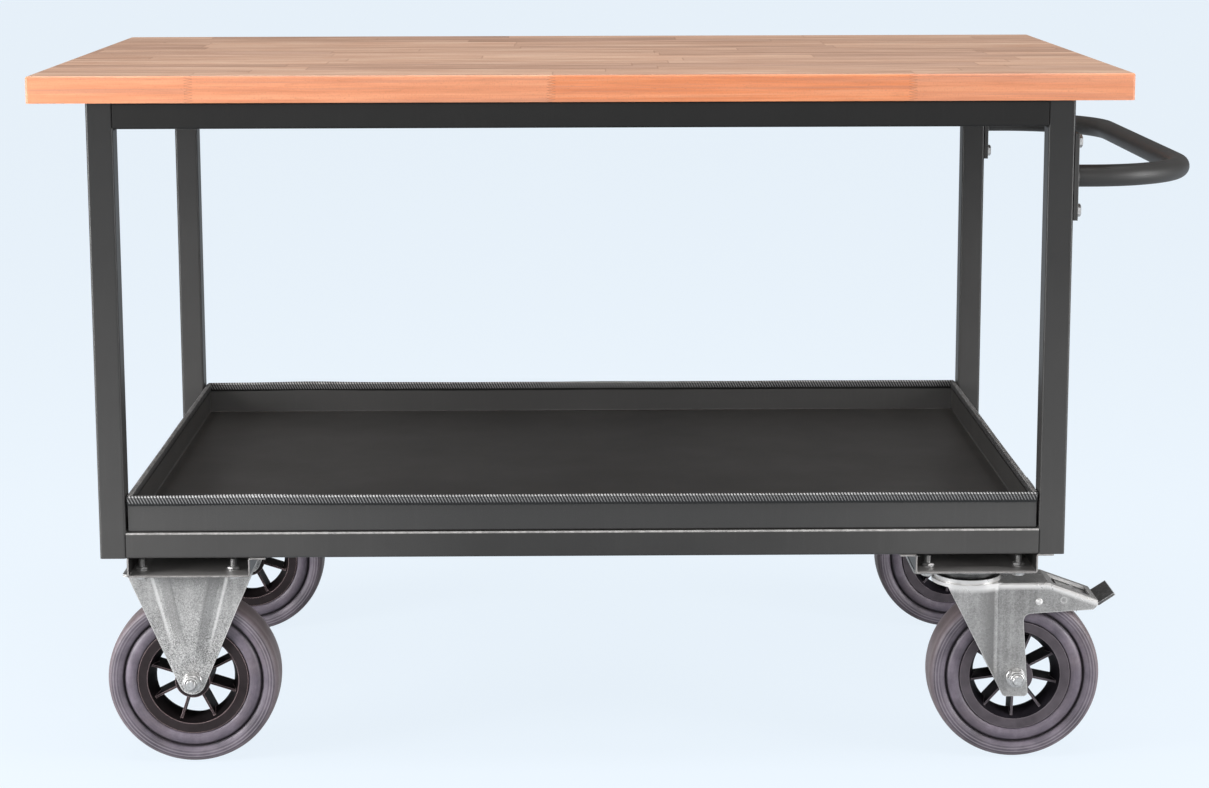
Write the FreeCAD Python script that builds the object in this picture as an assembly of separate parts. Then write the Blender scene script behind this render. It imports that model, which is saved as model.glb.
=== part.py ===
import FreeCAD, Part
import math
import os

V = FreeCAD.Vector

# Rolling assembly table: a beech worktop on a welded square-tube frame, with a lower tray,
# a bolted push handle, two fixed casters at one end and two braked swivel casters at the other.
# Millimetres. +X is the handle end, +Y the rear, +Z up. Everything is drawn about the middle of
# the table on the floor, and moved in X on export so that the origin is the box's bottom centre.

# ---- worktop -------------------------------------------------------------------------------
top_length = 1225.0
top_depth = 700.0
top_thick = 30.0
top_edge_r = 3.0
screw_inset = 250.0         # worktop screws, from the ends of the long top rails
screw_r = 3.0
screw_head_r = 6.0
screw_head = 4.0
screw_bite = 20.0           # how far a screw enters the worktop

# ---- frame of square tube ------------------------------------------------------------------
frame_length = 1100.0
frame_depth = 674.0
frame_height = 520.0
tube = 30.0
tube_wall = 2.0
tube_r = 3.0

# ---- tray and its edge trim ----------------------------------------------------------------
tray_side_gap = 3.0         # tray end to post
tray_front_gap = 3.0        # tray wall to the frame's outer face
tray_wall = 40.0
tray_sheet = 1.5
tray_bend = 3.0
trim_lip = 2.0              # rubber each side of the sheet
trim_cover = 9.0            # how far the trim reaches down the sheet
trim_crown = 2.0            # rubber above the sheet

# ---- hat channels that carry the casters ---------------------------------------------------
channel_width = 140.0
channel_depth = 22.5
channel_sheet = 2.0
channel_flange = 18.0
channel_bend = 1.0          # inside radius

# ---- push handle ---------------------------------------------------------------------------
handle_reach = 145.0        # post face to the grip's centre line
handle_drop = 117.0         # worktop's upper face to the handle's centre line
handle_tube = 25.0
handle_wall = 2.0
handle_bend = 124.0         # centre-line radius
flange_height = 98.0
flange_thick = 5.0
flange_bolt_pitch = 78.0
flange_bolt_r = 4.0
flange_bolt_flats = 13.0
flange_bolt_head = 5.3
flange_bolt_length = 20.0

# ---- casters -------------------------------------------------------------------------------
caster_height = 235.0
caster_inset = 69.0         # caster centre to the frame's outer face
fixed_shift = 5.0           # fixed casters sit this much nearer the table's end
fixed_plate = 146.0         # along X, of a fixed caster
swivel_plate = 140.0        # and of a swivel caster
plate_depth = 110.0         # along Y, both
plate_corner_r = 6.0
hole_pitch_x = 105.0
hole_pitch_y = 80.0
mount_bolt_r = 4.0
mount_bolt_flats = 13.0
mount_bolt_head = 5.3
mount_nut = 4.0
mount_bolt_tail = 9.0       # thread beyond the nut
hole_clearance = 0.5

wheel_d = 200.0
tyre_width = 50.0
shoulder_drop = 6.0         # tread edge below the crown
shoulder_width = 5.0
crease_d = 161.0            # valley that runs round the sidewall
crease_depth = 3.0
rim_d = 129.0
rim_lip_d = 106.0
rim_waist_d = 91.0          # inside of the barrel at its middle
rim_width = 48.0
hub_d = 41.0
hub_width = 55.0
spoke_thick = 2.6
spoke_dish = 7.0            # how far a spoke's edge lies inside the rim's face
fixed_spokes = 8
swivel_spokes = 9
bearing_d = 27.0
running_clearance = 0.05

fork_gap = 56.0             # between a caster's two legs
axle_r = 6.0
axle_flats = 19.0
axle_head = 7.5
axle_nut = 13.0
axle_tail = 4.0             # thread beyond the nut

bracket_sheet = 3.0
bracket_tip_r = 15.5
bracket_corner_gap = 1.5    # leg corner to the plate's underside
bracket_root = 80.0         # width over which a leg grows out of the plate
panel_top = 88.0            # raised stiffening panel, width at its top and at its bottom
panel_bottom = 30.0
panel_raise = 4.5
panel_slope = 19.0          # width of the panel's sloping borders
panel_low = 18.0            # above the axle

swivel_sheet = 4.0          # its mounting plate
swivel_trail = 54.0
fork_sheet = 4.0
fork_top = 213.0            # height of the fork's crown
crown_r = 42.0
crown_wrap = 150.0          # degrees from +X to which the legs follow the crown
crown_lip = 5.0             # rim that stands up round the ball race
crown_lip_thick = 2.0
race_boss_r = 40.0
race_boss = 5.0
race_outer_r = 35.0
race_inner_r = 24.0
race_clearance = 0.3
kingpin_r = 8.0
kingpin_head_r = 13.0
kingpin_head = 7.0
crease_x = 31.0             # fold line of a swivel leg, from the swivel axis
leg_lead = 29.0             # leading edge at the crown, ahead of the swivel axis
leg_tip_drop = 23.0         # tip below the axle
leg_tip_half = 14.5
leg_lean = 7.5              # how far the rear edge leans forward from tip to arm
leg_corner_r = 5.0
arm_throat_r = 8.5
arm_reach = 147.5           # brake arm's end, from the swivel axis
arm_knee = 90.0             # where the arm begins to slope down
arm_end_top = 192.0
arm_end_low = 181.0
arm_root_low = 176.0
arm_end_cut = 5.0
arm_edge_r = 3.5            # bend between the arm's top and its sides
slot_start = 97.0           # opening in the arm's sloping top
slot_end = 141.0
slot_width = 40.0

pedal_sheet = 3.0
pedal_pivot_x = 108.0
pedal_pivot_z = 192.5
pedal_pin_r = 3.5
pedal_hub_r = 6.0
pedal_gap = 1.0             # below the arm's top, and from its end
pedal_width = 54.0
pedal_lip = 22.0
pedal_lip_angle = 33.0
shoe_width = 36.0
shoe_length = 12.0
shoe_gap = 3.6              # brake shoe to the tyre when released
spring_sheet = 1.0
spring_width = 14.0
spring_root = 52.0          # the spring's fixed end, from the swivel axis
spring_bend = 8.0           # its bend, ahead of the arm's knee

# ---- derived places ------------------------------------------------------------------------
frame_z = caster_height + channel_depth
frame_top_z = frame_z + frame_height
top_z = frame_top_z + top_thick
rail_top_z = frame_z + tube
half_length = frame_length / 2
half_depth = frame_depth / 2
caster_x = half_length - tube - channel_width / 2
fixed_x = -caster_x - fixed_shift
caster_y = half_depth - caster_inset
axle_z = wheel_d / 2
handle_x = half_length + handle_reach
handle_y = half_depth - tube / 2
handle_z = top_z - handle_drop
centre_x = (handle_x + handle_tube / 2 - top_length / 2) / 2
leg_outer = fork_gap / 2 + fork_sheet
wheel_x = swivel_trail


# ---- tools ---------------------------------------------------------------------------------
def box(x0, x1, y0, y1, z0, z1):
    return Part.makeBox(x1 - x0, y1 - y0, z1 - z0, V(x0, y0, z0))


def cylinder_z(radius, z0, z1, x=0.0, y=0.0):
    return Part.makeCylinder(radius, z1 - z0, V(x, y, z0))


def cylinder_y(radius, y0, y1, x=0.0, z=0.0):
    return Part.makeCylinder(radius, y1 - y0, V(x, y0, z), V(0, 1, 0))


def prism(points, direction):
    """The closed outline through the points, extruded along a vector."""
    outline = Part.makePolygon([V(*p) for p in points + points[:1]])
    return Part.Face(outline).extrude(V(*direction))


def hexagon(flats, height):
    """A hexagonal prism about Z from z = 0, two of its flats square to Y."""
    corner = flats / math.sqrt(3)
    turns = [math.radians(60 * i) for i in range(6)]
    return prism([(corner * math.cos(t), corner * math.sin(t), 0) for t in turns], (0, 0, height))


def moved(shape, x=0.0, y=0.0, z=0.0):
    copy = shape.copy()
    copy.translate(V(x, y, z))
    return copy


def turned(shape, axis, degrees):
    copy = shape.copy()
    copy.rotate(V(0, 0, 0), V(*axis), degrees)
    return copy


def revolved(outline, about_y=True):
    """A ring from (radius, along) corners, turned about Y or about Z."""
    points = [V(r, a, 0) if about_y else V(r, 0, a) for r, a in outline + outline[:1]]
    axis = V(0, 1, 0) if about_y else V(0, 0, 1)
    return Part.Face(Part.makePolygon(points)).revolve(V(0, 0, 0), axis, 360)


def edges_where(shape, test):
    return [e for e in shape.Edges if test(e.BoundBox)]


def export(name, *pieces):
    pieces = [moved(p, x=-centre_x) for p in pieces]
    whole = pieces[0] if len(pieces) == 1 else Part.makeCompound(pieces)
    whole.exportStep("parts/" + name + ".step")


# ---- worktop and frame ---------------------------------------------------------------------
def screw_places():
    x = half_length - screw_inset
    y = half_depth - tube / 2
    return [(sx * x, sy * y) for sx in (-1, 1) for sy in (-1, 1)]


def worktop():
    board = box(-top_length / 2, top_length / 2, -top_depth / 2, top_depth / 2, frame_top_z, top_z)
    board = board.makeFillet(top_edge_r, edges_where(board, lambda b: b.ZMax > top_z - 1))
    for x, y in screw_places():
        board = board.cut(cylinder_z(screw_r, frame_top_z, frame_top_z + screw_bite, x, y))
    return board


def square_tube(length):
    """Square tube along Z from z = 0, centred on the axis, with rolled outer corners."""
    half = tube / 2
    solid = box(-half, half, -half, half, 0, length)
    tall = edges_where(solid, lambda b: b.ZLength > length / 2)
    bore = half - tube_wall
    return solid.makeFillet(tube_r, tall).cut(box(-bore, bore, -bore, bore, 0, length))


def post(side, row):
    """A corner post, closed at its foot; the right-hand ones have holes for the handle bolts."""
    x = side * (half_length - tube / 2)
    y = row * (half_depth - tube / 2)
    solid = square_tube(frame_height)
    half = tube / 2 - tube_wall
    solid = moved(solid.fuse(box(-half, half, -half, half, 0, tube_wall)), x, y, frame_z)
    if side > 0:
        for z in handle_bolt_heights():
            hole = Part.makeCylinder(flange_bolt_r, tube / 2, V(x, y, z), V(1, 0, 0))
            solid = solid.cut(hole)
    return solid


def long_rail(row, z, screwed):
    """A rail along X; a screwed one has holes that let a screw's head in to its upper wall."""
    length = frame_length - 2 * tube
    rail = turned(square_tube(length), (0, 1, 0), 90)
    rail = moved(rail, -length / 2, row * (half_depth - tube / 2), z + tube / 2)
    if screwed:
        for x, y in screw_places():
            rail = rail.cut(cylinder_z(screw_head_r + hole_clearance, z, z + tube_wall, x, y))
            rail = rail.cut(cylinder_z(screw_r + hole_clearance, z, z + tube, x, y))
    return rail


def short_rail(side, z):
    length = frame_depth - 2 * tube
    rail = turned(square_tube(length), (1, 0, 0), -90)
    return moved(rail, side * (half_length - tube / 2), -length / 2, z + tube / 2)


def worktop_screw(x, y):
    """A screw whose head bears on a rail's upper wall from inside the tube."""
    seat = frame_top_z - tube_wall
    head = cylinder_z(screw_head_r, seat - screw_head, seat, x, y)
    return head.fuse(cylinder_z(screw_r, seat, frame_top_z + screw_bite, x, y))


# ---- tray ----------------------------------------------------------------------------------
def tray_half():
    return half_length - tube - tray_side_gap, half_depth - tray_front_gap


def tray():
    """A folded sheet tray that lies on the long bottom rails."""
    x, y = tray_half()
    low = rail_top_z
    solid = box(-x, x, -y, y, low, low + tray_wall)
    solid = solid.makeFillet(tray_bend, edges_where(solid, lambda b: b.ZMax < low + 1))
    x, y = x - tray_sheet, y - tray_sheet
    inside = box(-x, x, -y, y, low + tray_sheet, low + tray_wall)
    foot = edges_where(inside, lambda b: b.ZMax < low + tray_sheet + 1)
    return solid.cut(inside.makeFillet(tray_bend - tray_sheet, foot))


def edge_trim(length):
    """Rubber U-profile along X that straddles the top of a tray wall centred on y = 0."""
    half = tray_sheet / 2
    top = rail_top_z + tray_wall
    reach = half + trim_lip
    outer = box(-length / 2, length / 2, -reach, reach, top - trim_cover, top + trim_crown)
    crown = edges_where(outer, lambda b: b.ZMin > top and b.XLength > length / 2)
    return outer.makeFillet(trim_crown, crown).cut(box(-length, length, -half, half, 0, top))


def edge_trims():
    """The two trims of the long walls, notched for the tray's corners, then the two between them."""
    x, y = tray_half()
    wall = y - tray_sheet / 2
    inner = 2 * (y - tray_sheet - trim_lip)
    long_ones = [moved(edge_trim(2 * x), y=row * wall).cut(tray()) for row in (-1, 1)]
    short = turned(edge_trim(inner), (0, 0, 1), 90)
    return long_ones, [moved(short, x=side * (x - tray_sheet / 2)) for side in (-1, 1)]


# ---- caster channels -----------------------------------------------------------------------
def mount_holes():
    return [(sx * hole_pitch_x / 2, sy * hole_pitch_y / 2) for sx in (-1, 1) for sy in (-1, 1)]


def drilled(plate, low, high):
    for x, y in mount_holes():
        plate = plate.cut(cylinder_z(mount_bolt_r + hole_clearance, low, high, x, y))
    return plate


def caster_channel(side):
    """A hat channel welded under the bottom rails, open upwards; the left one's outer web has no flange."""
    half, t = channel_width / 2, channel_sheet
    low, high = caster_height, frame_z
    brim = half + channel_flange
    outline = [(t - half, high), (t - half, low + t), (half - t, low + t), (half - t, high), (brim, high),
               (brim, high - t), (half, high - t), (half, low), (-half, low)]
    outline += [(-half, high - t), (-brim, high - t), (-brim, high)] if side > 0 else [(-half, high)]
    solid = prism([(x, -half_depth, z) for x, z in outline], (0, frame_depth, 0))
    flanged = (-1, 1) if side > 0 else (1,)
    hollow = [(s * (half - t), low + t) for s in (-1, 1)] + [(s * half, high - t) for s in flanged]
    crest = [(s * half, low) for s in (-1, 1)] + [(s * (half - t), high) for s in flanged]
    for radius, folds in ((channel_bend, hollow), (channel_bend + t, crest)):
        edges = edges_where(solid, lambda b: b.YLength > half_depth
                            and any(abs(b.XMin - x) + abs(b.ZMin - z) < 0.1 for x, z in folds))
        solid = solid.makeFillet(radius, edges)
    offset = -fixed_shift if side < 0 else 0.0
    for y in (-caster_y, caster_y):
        solid = moved(drilled(moved(solid, -offset, -y), low, low + t), offset, y)
    return moved(solid, x=side * caster_x)


# ---- push handle ---------------------------------------------------------------------------
def handle_bolt_heights():
    return [handle_z - flange_bolt_pitch / 2, handle_z + flange_bolt_pitch / 2]


def bar_along(radius):
    """A round bar along the handle's U: two arms along X, two quarter bends and the grip along Y."""
    start = half_length + flange_thick
    arm = handle_x - handle_bend - start
    grip = handle_y - handle_bend
    pieces = [Part.makeCylinder(radius, 2 * grip, V(handle_x, -grip, handle_z), V(0, 1, 0))]
    for row in (-1, 1):
        pieces.append(Part.makeCylinder(radius, arm, V(start, row * handle_y, handle_z), V(1, 0, 0)))
        bend = Part.makeTorus(handle_bend, radius, V(0, 0, 0), V(0, 0, 1), 0, 360, 90)
        bend = bend if row > 0 else turned(bend, (1, 0, 0), 180)
        pieces.append(moved(bend, handle_x - handle_bend, row * grip, handle_z))
    return pieces[0].fuse(pieces[1:])


def push_handle():
    return bar_along(handle_tube / 2).cut(bar_along(handle_tube / 2 - handle_wall))


def handle_plate(row):
    y = row * handle_y
    half = flange_height / 2
    plate = box(0, flange_thick, -tube / 2, tube / 2, -half, half)
    plate = moved(plate, half_length, y, handle_z)
    for z in handle_bolt_heights():
        plate = plate.cut(Part.makeCylinder(flange_bolt_r, flange_thick, V(half_length, y, z), V(1, 0, 0)))
    return plate


def handle_bolts():
    face = half_length + flange_thick
    head = turned(hexagon(flange_bolt_flats, flange_bolt_head), (0, 1, 0), 90)
    shank = Part.makeCylinder(flange_bolt_r, flange_bolt_length, V(-flange_bolt_length, 0, 0), V(1, 0, 0))
    bolt = head.fuse(shank)
    return [moved(bolt, face, row * handle_y, z) for row in (-1, 1) for z in handle_bolt_heights()]


# ---- fasteners of the casters --------------------------------------------------------------
def caster_centres():
    return [(x, row * caster_y) for x in (fixed_x, caster_x) for row in (-1, 1)]


def caster_bolts():
    bolts = []
    seat = caster_height + channel_sheet
    for cx, cy in caster_centres():
        under = caster_height - (bracket_sheet if cx < 0 else swivel_sheet)
        head = moved(hexagon(mount_bolt_flats, mount_bolt_head), z=under - mount_bolt_head)
        bolt = head.fuse(cylinder_z(mount_bolt_r, under, seat + mount_nut + mount_bolt_tail))
        bolts += [moved(bolt, cx + x, cy + y) for x, y in mount_holes()]
    return bolts


def caster_nuts():
    seat = caster_height + channel_sheet
    nut = moved(turned(hexagon(mount_bolt_flats, mount_nut), (0, 0, 1), 30), z=seat)
    nut = nut.cut(cylinder_z(mount_bolt_r, seat, seat + mount_nut))
    return [moved(nut, cx + x, cy + y) for cx, cy in caster_centres() for x, y in mount_holes()]


# ---- wheels --------------------------------------------------------------------------------
def tyre():
    """Solid rubber tyre about Y: a valley runs round each sidewall, and the tread's edges fall away."""
    w = tyre_width / 2
    side = [(rim_d / 2, w - 1), (crease_d / 2, w - crease_depth), (wheel_d / 2 - shoulder_drop, w),
            (wheel_d / 2, w - shoulder_width)]
    return revolved(side + [(r, -a) for r, a in reversed(side)])


def rim(spokes, phase):
    """Moulded wheel centre: a waisted barrel, thin radial blades and a hub with the bearing's seat."""
    w = rim_width / 2
    barrel = revolved([(rim_d / 2, w), (rim_lip_d / 2, w), (rim_waist_d / 2, 0), (rim_lip_d / 2, -w),
                       (rim_d / 2, -w)])
    hub = revolved([(bearing_d / 2, hub_width / 2), (hub_d / 2, hub_width / 2), (hub_d / 2, -hub_width / 2),
                    (bearing_d / 2, -hub_width / 2)])
    inner = hub_d / 2 - 1
    outer = (rim_lip_d + rim_d) / 4
    half = w - spoke_dish
    blade = box(inner, outer, -half, half, -spoke_thick / 2, spoke_thick / 2)
    blades = [turned(blade, (0, 1, 0), phase - 360 / spokes * i) for i in range(spokes)]
    return barrel.fuse([hub] + blades)


def bearing():
    return revolved([(axle_r + running_clearance, -hub_width / 2), (bearing_d / 2, -hub_width / 2),
                     (bearing_d / 2, hub_width / 2), (axle_r + running_clearance, hub_width / 2)])


def axle_bolt(leg):
    """Hexagon bolt along Y through both legs, with its head at the rear."""
    head = moved(turned(hexagon(axle_flats, axle_head), (1, 0, 0), -90), y=leg)
    return head.fuse(cylinder_y(axle_r, -leg - axle_nut - axle_tail, leg))


def axle_lock_nut(leg):
    nut = moved(turned(hexagon(axle_flats, axle_nut), (1, 0, 0), 90), y=-leg)
    return nut.cut(cylinder_y(axle_r, -leg - axle_nut, -leg))


# ---- fixed caster --------------------------------------------------------------------------
def mounting_plate(length, sheet):
    """Drilled plate with rounded corners whose upper face bears on the channel."""
    under = caster_height - sheet
    half = plate_depth / 2
    plate = box(-length / 2, length / 2, -half, half, under, caster_height)
    plate = plate.makeFillet(plate_corner_r, edges_where(plate, lambda b: b.ZLength > sheet / 2))
    return drilled(plate, under, caster_height)


def fixed_leg():
    """The front leg of a fixed bracket: a tapering sheet with a round tip and a raised panel."""
    inner = -fork_gap / 2
    outer = inner - bracket_sheet
    under = caster_height - bracket_sheet
    top = fixed_plate / 2
    low = axle_z
    # the straight sides leave the round tip where they touch it
    reach = math.hypot(top, under - low)
    lean = math.atan2(under - low, top) - math.acos(bracket_tip_r / reach)
    tx, tz = bracket_tip_r * math.cos(lean), low + bracket_tip_r * math.sin(lean)
    shoulder = under - bracket_corner_gap
    sides = [(-tx, outer, tz), (-top, outer, shoulder), (-bracket_root / 2, outer, shoulder),
             (-bracket_root / 2, outer, under), (bracket_root / 2, outer, under),
             (bracket_root / 2, outer, shoulder), (top, outer, shoulder), (tx, outer, tz)]
    edges = [Part.LineSegment(V(*a), V(*b)).toShape() for a, b in zip(sides, sides[1:])]
    tip = Part.Arc(V(tx, outer, tz), V(0, outer, low - bracket_tip_r), V(-tx, outer, tz)).toShape()
    leg = Part.Face(Part.Wire(edges + [tip])).extrude(V(0, bracket_sheet, 0))
    leg = leg.fuse(raised_panel(outer))
    return leg.cut(cylinder_y(axle_r, outer - panel_raise, inner, z=low))


def raised_panel(face):
    """A stiffening panel on the leg's outer face with wide sloping borders, highest at the plate."""
    def outline(y, shrink):
        low, high = axle_z + panel_low + shrink, caster_height - bracket_sheet
        wide, narrow = panel_top / 2 - shrink, panel_bottom / 2 - shrink / 2
        corners = [V(-narrow, y, low), V(narrow, y, low), V(wide, y, high), V(-wide, y, high)]
        return Part.makePolygon(corners + corners[:1])
    return Part.makeLoft([outline(face, 0), outline(face - panel_raise, panel_slope)], True, True)


def fixed_bracket():
    front = fixed_leg()
    return mounting_plate(fixed_plate, bracket_sheet).fuse([front, turned(front, (0, 0, 1), 180)])


# ---- swivel caster -------------------------------------------------------------------------
def swivel_top_plate():
    """Mounting plate with the round boss of the upper ball race under it and the kingpin's hole."""
    under = caster_height - swivel_sheet
    boss = cylinder_z(race_boss_r, under - race_boss, under)
    plate = mounting_plate(swivel_plate, swivel_sheet).fuse(boss)
    return plate.cut(cylinder_z(kingpin_r, under - race_boss, caster_height))


def kingpin():
    low = fork_top - fork_sheet - race_clearance
    head = cylinder_z(kingpin_head_r, low - kingpin_head, low)
    return head.fuse(cylinder_z(kingpin_r, low, caster_height))


def ball_race():
    low, high = fork_top, caster_height - swivel_sheet - race_boss - race_clearance
    return cylinder_z(race_outer_r, low, high).cut(cylinder_z(race_inner_r, low, high))


def arm_top(x):
    """Height of the arm's upper face at x from the swivel axis."""
    fall = (fork_top - arm_end_top) / (arm_reach - arm_knee)
    return fork_top - max(0.0, x - arm_knee) * fall


def leg_outline():
    """Side view of a swivel leg and its brake arm, as a face in the plane y = 0."""
    tip = axle_z - leg_tip_drop
    front, rear = wheel_x - leg_tip_half, wheel_x + leg_tip_half
    corners = [(-leg_lead, fork_top), (front, tip), (rear, tip), (rear - leg_lean, arm_root_low),
               (arm_reach - arm_end_cut, arm_end_low), (arm_reach, arm_end_low + arm_end_cut),
               (arm_reach, arm_end_top), (arm_knee, fork_top)]
    return prism([(x, -plate_depth, z) for x, z in corners], (0, 2 * plate_depth, 0))


def leg_plan(inset):
    """Plan view of a leg's face: straight from the arm to the crease, then a tangent on to the crown."""
    radius, y = crown_r - inset, leg_outer - inset
    meet = math.atan2(y, crease_x) + math.acos(radius / math.hypot(crease_x, y))
    stop = math.radians(crown_wrap)
    at = lambda t: V(radius * math.cos(t), radius * math.sin(t), 0)
    run = [V(arm_reach + plate_depth, y, 0), V(crease_x, y, 0), at(meet)]
    lines = [Part.LineSegment(p, q).toShape() for p, q in zip(run, run[1:])]
    return lines + [Part.Arc(at(meet), at((meet + stop) / 2), at(stop)).toShape()], run[0], at(stop)


def swivel_leg(row):
    """One leg: a sheet that follows its plan view, trimmed to the side view."""
    outer, outer_end, outer_stop = leg_plan(0)
    inner, inner_end, inner_stop = leg_plan(fork_sheet)
    ends = [(outer_stop, inner_stop), (inner_end, outer_end)]
    caps = [Part.LineSegment(p, q).toShape() for p, q in ends]
    outline = Part.Wire(Part.__sortEdges__(outer + inner + caps))
    sheet = Part.Face(outline).extrude(V(0, 0, fork_top))
    sheet = sheet if row > 0 else sheet.mirror(V(0, 0, 0), V(0, 1, 0))
    solid = sheet.common(leg_outline())
    tip = axle_z - leg_tip_drop
    root = wheel_x + leg_tip_half - leg_lean
    corners = edges_where(solid, lambda b: b.ZMax < tip + 1 and b.XLength < 1)
    solid = solid.makeFillet(leg_corner_r, corners)
    throat = edges_where(solid, lambda b: max(abs(b.ZMin - arm_root_low), abs(b.ZMax - arm_root_low),
                                              abs(b.XMin - root), abs(b.XMax - root)) < 0.01)
    return solid.makeFillet(arm_throat_r, throat)


def swivel_fork():
    """Crown, two legs and the slotted brake arm, pressed from one sheet."""
    legs = [swivel_leg(row) for row in (-1, 1)]
    t = fork_sheet
    deck = [(0, fork_top), (arm_knee, fork_top), (arm_reach, arm_end_top), (arm_reach, arm_end_top - t),
            (arm_knee, fork_top - t), (0, fork_top - t)]
    top = prism([(x, -leg_outer, z) for x, z in deck], (0, 2 * leg_outer, 0))
    top = top.cut(box(slot_start, slot_end, -slot_width / 2, slot_width / 2, 0, fork_top))
    crown = cylinder_z(crown_r, fork_top - t, fork_top)
    solid = top.fuse([crown] + legs).removeSplitter()
    shoulders = edges_where(solid, lambda b: b.XMin > crease_x - 1 and b.ZMin > arm_end_top - 1
                            and min(abs(b.YMin), abs(b.YMax)) > leg_outer - 1 and b.XLength > 1)
    solid = solid.makeFillet(arm_edge_r, shoulders)
    lip_r = crown_r - arm_edge_r
    lip = cylinder_z(lip_r, fork_top, fork_top + crown_lip)
    solid = solid.fuse(lip.cut(cylinder_z(lip_r - crown_lip_thick, fork_top, fork_top + crown_lip)))
    solid = solid.cut(cylinder_z(kingpin_r + running_clearance, 0, fork_top))
    solid = solid.cut(cylinder_y(axle_r, -plate_depth, plate_depth, wheel_x, axle_z))
    return solid.cut(cylinder_y(pedal_pin_r, -plate_depth, plate_depth, pedal_pivot_x, pedal_pivot_z))


def brake_pedal():
    """A lever under the arm's top: turned-up tread plate, hub on the pin and shoe over the tyre."""
    t = pedal_sheet
    drop = fork_sheet + pedal_gap
    x0 = pedal_pivot_x - pedal_hub_r / 2
    x1 = arm_reach - 2
    x2 = arm_reach + pedal_gap
    z0, z1 = arm_top(x0) - drop, arm_top(x1) - drop
    rise = math.radians(pedal_lip_angle)
    dx, dz = pedal_lip * math.cos(rise), pedal_lip * math.sin(rise)
    sx, sz = t * math.sin(rise), t * math.cos(rise)
    outline = [(x0, z0), (x1, z1), (x2, z1), (x2 + dx, z1 + dz), (x2 + dx + sx, z1 + dz - sz),
               (x2 + sx, z1 - t), (x1, z1 - t), (x0, z0 - t)]
    half = pedal_width / 2
    lever = prism([(x, -half, z) for x, z in outline], (0, pedal_width, 0))
    hub = cylinder_y(pedal_hub_r, -half, half, pedal_pivot_x, pedal_pivot_z)
    neck = box(x0, pedal_pivot_x + pedal_hub_r, -half, half, pedal_pivot_z, z0 - t)
    shoe_x = pedal_pivot_x + pedal_hub_r
    shoe_half = shoe_width / 2
    shoe = box(shoe_x, shoe_x + shoe_length, -shoe_half, shoe_half, axle_z, arm_top(shoe_x) - drop - t)
    shoe = shoe.cut(cylinder_y(wheel_d / 2 + shoe_gap, -half, half, wheel_x, axle_z))
    pedal = lever.fuse([hub, neck, shoe])
    return pedal.cut(cylinder_y(pedal_pin_r + running_clearance, -half, half, pedal_pivot_x, pedal_pivot_z))


def brake_spring():
    """A leaf under the deck whose free end bears on the pedal's heel."""
    under = fork_top - fork_sheet
    heel = pedal_pivot_x - pedal_hub_r - pedal_gap
    t = spring_sheet
    bend = arm_knee - spring_bend
    outline = [(spring_root, under), (bend, under), (heel, pedal_pivot_z), (heel - t, pedal_pivot_z - t),
               (bend - t, under - t), (spring_root, under - t)]
    return prism([(x, -spring_width / 2, z) for x, z in outline], (0, spring_width, 0))


# ---- the parts -----------------------------------------------------------------------------
def export_table():
    export("worktop", worktop())
    export("worktop_screws", *[worktop_screw(x, y) for x, y in screw_places()])
    for side, end in ((-1, "left"), (1, "right")):
        for row, place in ((-1, "front"), (1, "rear")):
            export("post_" + place + "_" + end, post(side, row))
        export("top_rail_" + end, short_rail(side, frame_top_z - tube))
        export("bottom_rail_" + end, short_rail(side, frame_z))
        export("caster_channel_" + end, caster_channel(side))
    for row, place in ((-1, "front"), (1, "rear")):
        export("top_rail_" + place, long_rail(row, frame_top_z - tube, True))
        export("bottom_rail_" + place, long_rail(row, frame_z, False))
    export("tray", tray())
    long_trims, short_trims = edge_trims()
    export("tray_trims_long", *long_trims)
    export("tray_trims_short", *short_trims)
    export("push_handle", push_handle())
    export("handle_plates", handle_plate(-1), handle_plate(1))
    export("handle_bolts", *handle_bolts())
    export("caster_bolts", *caster_bolts())
    export("caster_nuts", *caster_nuts())


def export_fixed_casters():
    rows = (-1, 1)
    leg = fork_gap / 2 + bracket_sheet
    for name, piece in (("fixed_axle_bolts", axle_bolt(leg)), ("fixed_axle_nuts", axle_lock_nut(leg))):
        export(name, *[moved(piece, fixed_x, row * caster_y, axle_z) for row in rows])
    for row, place in ((-1, "front"), (1, "rear")):
        name = place + "_left_"
        export(name + "bracket", moved(fixed_bracket(), fixed_x, row * caster_y))
        for piece, shape in (("tyre", tyre()), ("rim", rim(fixed_spokes, -27)), ("bearing", bearing())):
            export(name + piece, moved(shape, fixed_x, row * caster_y, axle_z))


def export_swivel_casters():
    export("kingpins", *[moved(kingpin(), caster_x, row * caster_y) for row in (-1, 1)])
    fork, pedal = swivel_fork(), brake_pedal()
    pin = cylinder_y(pedal_pin_r, -leg_outer, leg_outer, pedal_pivot_x, pedal_pivot_z)
    for row, place in ((-1, "front"), (1, "rear")):
        name = place + "_right_"
        for piece, shape in (("top_plate", swivel_top_plate()), ("ball_race", ball_race()), ("fork", fork),
                             ("brake_pedal", pedal), ("brake_pin", pin), ("brake_spring", brake_spring())):
            export(name + piece, moved(shape, caster_x, row * caster_y))
        for piece, shape in (("tyre", tyre()), ("rim", rim(swivel_spokes, -28)), ("bearing", bearing()),
                             ("axle_bolt", axle_bolt(leg_outer)), ("axle_nut", axle_lock_nut(leg_outer))):
            export(name + piece, moved(shape, caster_x + wheel_x, row * caster_y, axle_z))


os.makedirs("parts", exist_ok=True)
export_table()
export_fixed_casters()
export_swivel_casters()
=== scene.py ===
import bmesh
import bpy
import math
from mathutils import Matrix, Vector

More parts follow.
